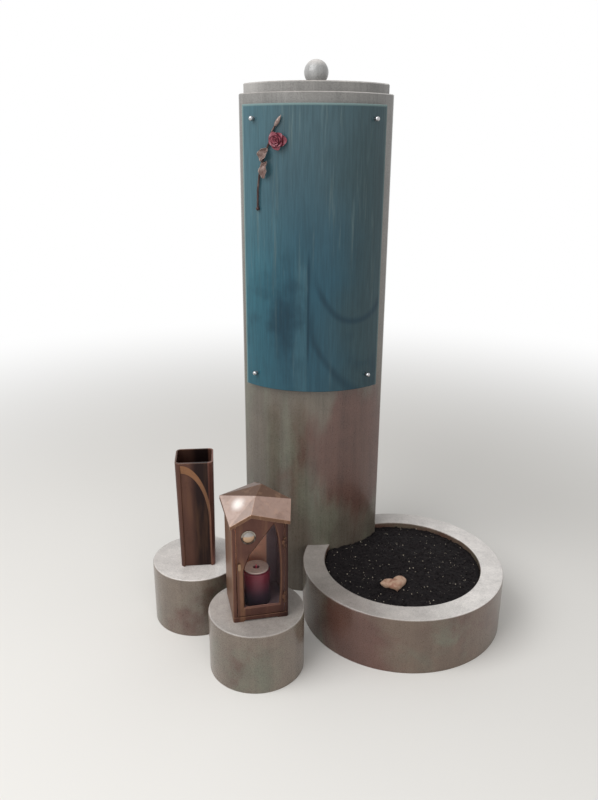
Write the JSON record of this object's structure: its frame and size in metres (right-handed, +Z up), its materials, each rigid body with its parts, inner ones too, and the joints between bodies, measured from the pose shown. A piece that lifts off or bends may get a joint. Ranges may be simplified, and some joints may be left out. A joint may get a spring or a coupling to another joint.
{
  "type": "stele headstone with planter ring, lantern and vase",
  "caption": "Convex stone stele with a bent glass front and a bronze rose, a notched planter ring, and a lantern with a hinged door and a vase on round pedestals.",
  "frame": {"origin": "centre of the stele's foot, on the ground", "axes": "+Z up, -Y out of the glazed front, +X to the planter's side"},
  "size_m": [0.872, 0.6569, 1.314],
  "materials": {
    "polished_gneiss": "polished",
    "teal_glass": "gloss",
    "polished_steel": "polished",
    "rose_bronze": "satin",
    "red_enamel": "satin",
    "brown_bronze": "patinated",
    "brass_fittings": "satin",
    "copper_sheet": "satin",
    "lantern_glass": "clear",
    "red_candle": "translucent",
    "candle_lid": "satin",
    "wick": "matte",
    "dark_soil": "matte"
  },
  "bodies": {
    "monument": {"stele_column": "polished_gneiss", "top_cap": "polished_gneiss", "cap_ball": "polished_gneiss", "planter_ring": "polished_gneiss", "lantern_pedestal": "polished_gneiss", "vase_pedestal": "polished_gneiss", "fixing_sleeve_lower_left": "polished_steel", "fixing_sleeve_lower_right": "polished_steel", "fixing_sleeve_upper_left": "polished_steel", "fixing_sleeve_upper_right": "polished_steel", "fixing_screw_lower_left": "polished_steel", "fixing_screw_lower_right": "polished_steel", "fixing_screw_upper_left": "polished_steel", "fixing_screw_upper_right": "polished_steel", "rose_stem": "rose_bronze", "rose_bud": "rose_bronze", "rose_leaf_upper": "rose_bronze", "rose_leaf_lower": "rose_bronze", "glass_panel": "teal_glass", "rose_bloom": "red_enamel", "lantern_walls": "brown_bronze", "lantern_tray": "brown_bronze", "hinge_pin_lower": "brass_fittings", "hinge_pin_upper": "brass_fittings", "lantern_roof": "copper_sheet", "candle_cup": "red_candle", "candle_lid": "candle_lid", "candle_wick": "wick", "vase_body": "brown_bronze", "planter_soil": "dark_soil"},
    "lantern_door_leaf": {"lantern_door": "brown_bronze", "door_glass": "lantern_glass", "porthole_bezel": "brass_fittings", "porthole_glass": "lantern_glass", "door_latch": "brass_fittings"}
  },
  "joints": [
    {"name": "lantern_door_hinge", "type": "hinge", "parent": "monument", "child": "lantern_door_leaf", "pos_m": [-0.0642, -0.4505, 0.265], "axis": [0, 0, 1], "range_deg": [0, 110]}
  ]
}
